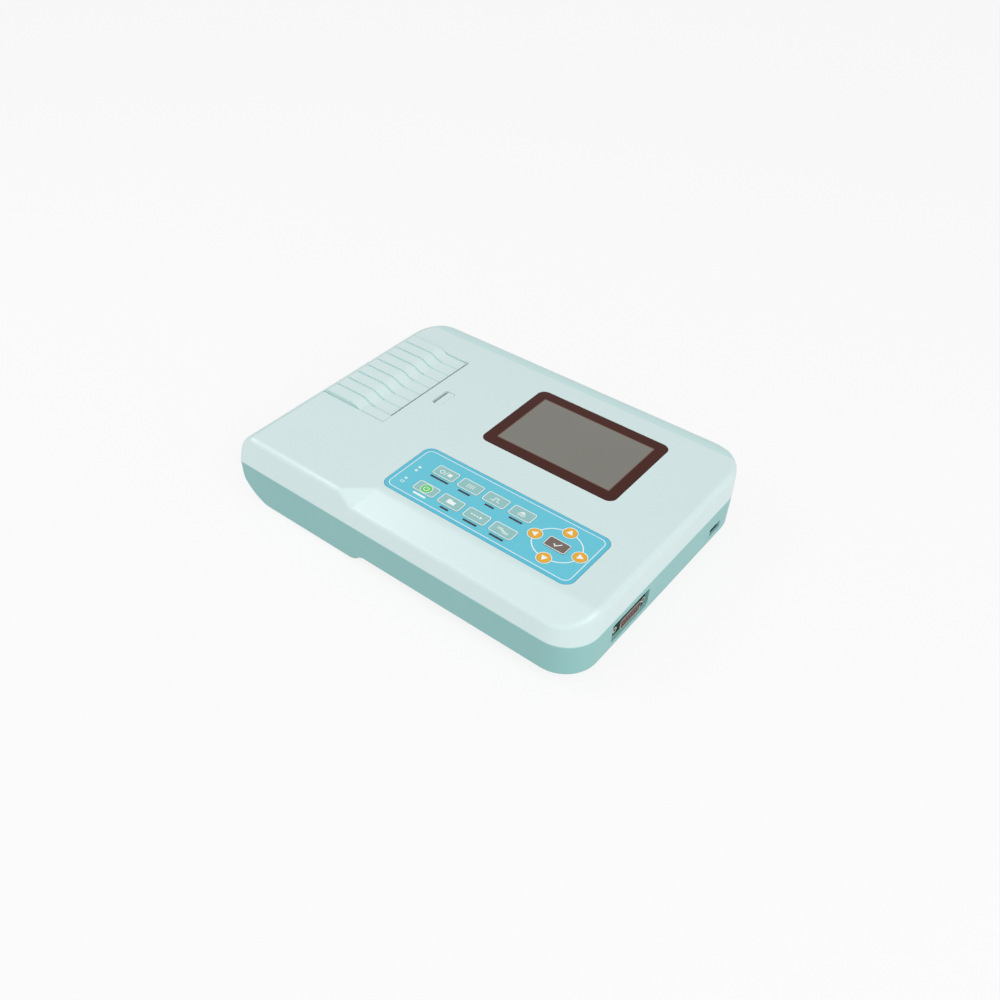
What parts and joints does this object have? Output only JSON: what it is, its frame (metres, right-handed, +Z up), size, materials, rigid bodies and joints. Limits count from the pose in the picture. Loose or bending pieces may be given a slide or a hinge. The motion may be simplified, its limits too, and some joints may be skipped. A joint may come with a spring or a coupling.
{
  "type": "ecg machine",
  "caption": "Portable desk-top electrocardiograph: two-part casing, hinged ribbed paper cover over a thermal chart printer, screen, membrane keypad, lead connector and rear mains inlet.",
  "frame": {"origin": "bottom centre of the bounding box, on the surface under the rubber feet", "axes": "+X to the user's right (connector side), +Y to the back, +Z up"},
  "size_m": [0.291, 0.215, 0.0596],
  "materials": {
    "casing_mint": "satin",
    "tub_teal": "satin",
    "soft_rubber": "matte",
    "steel": "satin",
    "plated_steel": "polished",
    "motor_zinc": "satin",
    "head_aluminium": "satin",
    "ceramic_dark": "gloss",
    "gear_white": "satin",
    "bearing_brass": "satin",
    "chassis_black": "matte",
    "chart_paper": "matte",
    "core_card": "matte",
    "screen_glaze": "gloss",
    "lcd_grey": "gloss",
    "keypad_blue": "satin",
    "membrane": "satin",
    "key_grey": "satin",
    "key_power": "satin",
    "key_orange": "satin",
    "key_dark": "satin",
    "lamp_green": "gloss",
    "board_green": "satin",
    "part_black": "matte",
    "battery_blue": "satin"
  },
  "bodies": {
    "casing": {"upper_casing": "casing_mint", "lower_casing": "tub_teal", "battery_door": "tub_teal", "rubber_feet": "soft_rubber", "casing_screws": "steel", "board_screws": "steel", "battery_door_screws": "steel", "cover_hinge_pin": "steel", "idler_post": "steel", "latch_spring": "steel", "inlet_blades": "steel", "ecg_connector_shell": "plated_steel", "ecg_jackscrews": "plated_steel", "usb_shell": "plated_steel", "earth_stud": "plated_steel", "feed_motor": "motor_zinc", "print_head_plate": "head_aluminium", "print_head_strip": "ceramic_dark", "printer_chassis": "chassis_black", "screen_window": "screen_glaze", "lcd_module": "lcd_grey", "keypad_overlay": "keypad_blue", "keypad_circuit": "membrane", "keypad_spacer": "membrane", "indicator_lenses": "lamp_green", "main_board": "board_green", "power_board": "board_green", "board_parts": "part_black", "power_parts": "part_black", "mains_inlet": "part_black", "rocker_frame": "part_black", "usb_tongue": "part_black", "ecg_connector_insert": "part_black", "battery_pack": "battery_blue"},
    "cover": {"paper_cover": "casing_mint", "platen_bushes": "bearing_brass"},
    "platen": {"platen_roller": "soft_rubber", "platen_shaft": "steel", "platen_gear": "gear_white"},
    "idler": {"idler_gear": "gear_white"},
    "pinion": {"motor_pinion": "steel"},
    "roll": {"paper_roll": "chart_paper", "paper_core": "core_card", "paper_spindle": "chassis_black"},
    "latch": {"latch_slider": "casing_mint"},
    "rocker": {"rocker_paddle": "part_black"},
    "start_key_body": {"start_key": "key_grey"},
    "menu_key_body": {"menu_key": "key_grey"},
    "calibrate_key_body": {"calibrate_key": "key_grey"},
    "report_key_body": {"report_key": "key_grey"},
    "power_key_body": {"power_key": "key_power"},
    "file_key_body": {"file_key": "key_grey"},
    "speed_key_body": {"speed_key": "key_grey"},
    "filter_key_body": {"filter_key": "key_grey"},
    "up_key_body": {"up_key": "key_orange"},
    "down_key_body": {"down_key": "key_orange"},
    "left_key_body": {"left_key": "key_orange"},
    "right_key_body": {"right_key": "key_orange"},
    "enter_key_body": {"enter_key": "key_dark"}
  },
  "joints": [
    {"name": "cover_hinge", "type": "hinge", "parent": "casing", "child": "cover", "pos_m": [-0.1311, 0.02105, 0.0554], "axis": [0, -1, 0], "range_deg": [0, 97]},
    {"name": "platen_spin", "type": "hinge", "parent": "cover", "child": "platen", "pos_m": [-0.0845, 0.0229, 0.047], "axis": [0, 1, 0], "continuous": true},
    {"name": "idler_spin", "type": "hinge", "parent": "casing", "child": "idler", "pos_m": [-0.08718, -0.0233, 0.03214], "axis": [0, 1, 0], "continuous": true},
    {"name": "pinion_spin", "type": "hinge", "parent": "casing", "child": "pinion", "pos_m": [-0.0744, -0.0233, 0.02749], "axis": [0, 1, 0], "continuous": true},
    {"name": "roll_spin", "type": "hinge", "parent": "casing", "child": "roll", "pos_m": [-0.107, 0.0229, 0.0285], "axis": [0, 1, 0], "continuous": true},
    {"name": "latch_slide", "type": "slide", "parent": "casing", "child": "latch", "axis": [-1, 0, 0], "range_m": [0, 0.0023], "stiffness_N_per_m": 300, "springref_m": -0.001, "deforming": ["latch_spring"]},
    {"name": "rocker_tilt", "type": "hinge", "parent": "casing", "child": "rocker", "pos_m": [0.025, 0.0965, 0.022], "axis": [1, 0, 0], "range_deg": [0, 16]},
    {"name": "start_press", "type": "slide", "parent": "casing", "child": "start_key_body", "axis": [0, 0, -1], "range_m": [0, 0.00045], "stiffness_N_per_m": 600},
    {"name": "menu_press", "type": "slide", "parent": "casing", "child": "menu_key_body", "axis": [0, 0, -1], "range_m": [0, 0.00045], "stiffness_N_per_m": 600},
    {"name": "calibrate_press", "type": "slide", "parent": "casing", "child": "calibrate_key_body", "axis": [0, 0, -1], "range_m": [0, 0.00045], "stiffness_N_per_m": 600},
    {"name": "report_press", "type": "slide", "parent": "casing", "child": "report_key_body", "axis": [0, 0, -1], "range_m": [0, 0.00045], "stiffness_N_per_m": 600},
    {"name": "power_press", "type": "slide", "parent": "casing", "child": "power_key_body", "axis": [0, 0, -1], "range_m": [0, 0.00045], "stiffness_N_per_m": 600},
    {"name": "file_press", "type": "slide", "parent": "casing", "child": "file_key_body", "axis": [0, 0, -1], "range_m": [0, 0.00045], "stiffness_N_per_m": 600},
    {"name": "speed_press", "type": "slide", "parent": "casing", "child": "speed_key_body", "axis": [0, 0, -1], "range_m": [0, 0.00045], "stiffness_N_per_m": 600},
    {"name": "filter_press", "type": "slide", "parent": "casing", "child": "filter_key_body", "axis": [0, 0, -1], "range_m": [0, 0.00045], "stiffness_N_per_m": 600},
    {"name": "up_press", "type": "slide", "parent": "casing", "child": "up_key_body", "axis": [0, 0, -1], "range_m": [0, 0.00045], "stiffness_N_per_m": 600},
    {"name": "down_press", "type": "slide", "parent": "casing", "child": "down_key_body", "axis": [0, 0, -1], "range_m": [0, 0.00045], "stiffness_N_per_m": 600},
    {"name": "left_press", "type": "slide", "parent": "casing", "child": "left_key_body", "axis": [0, 0, -1], "range_m": [0, 0.00045], "stiffness_N_per_m": 600},
    {"name": "right_press", "type": "slide", "parent": "casing", "child": "right_key_body", "axis": [0, 0, -1], "range_m": [0, 0.00045], "stiffness_N_per_m": 600},
    {"name": "enter_press", "type": "slide", "parent": "casing", "child": "enter_key_body", "axis": [0, 0, -1], "range_m": [0, 0.00045], "stiffness_N_per_m": 600}
  ],
  "couplings": [
    {"joint": "idler_spin", "follows": "platen_spin", "ratio": -0.66667},
    {"joint": "pinion_spin", "follows": "platen_spin", "ratio": 1.3333}
  ]
}
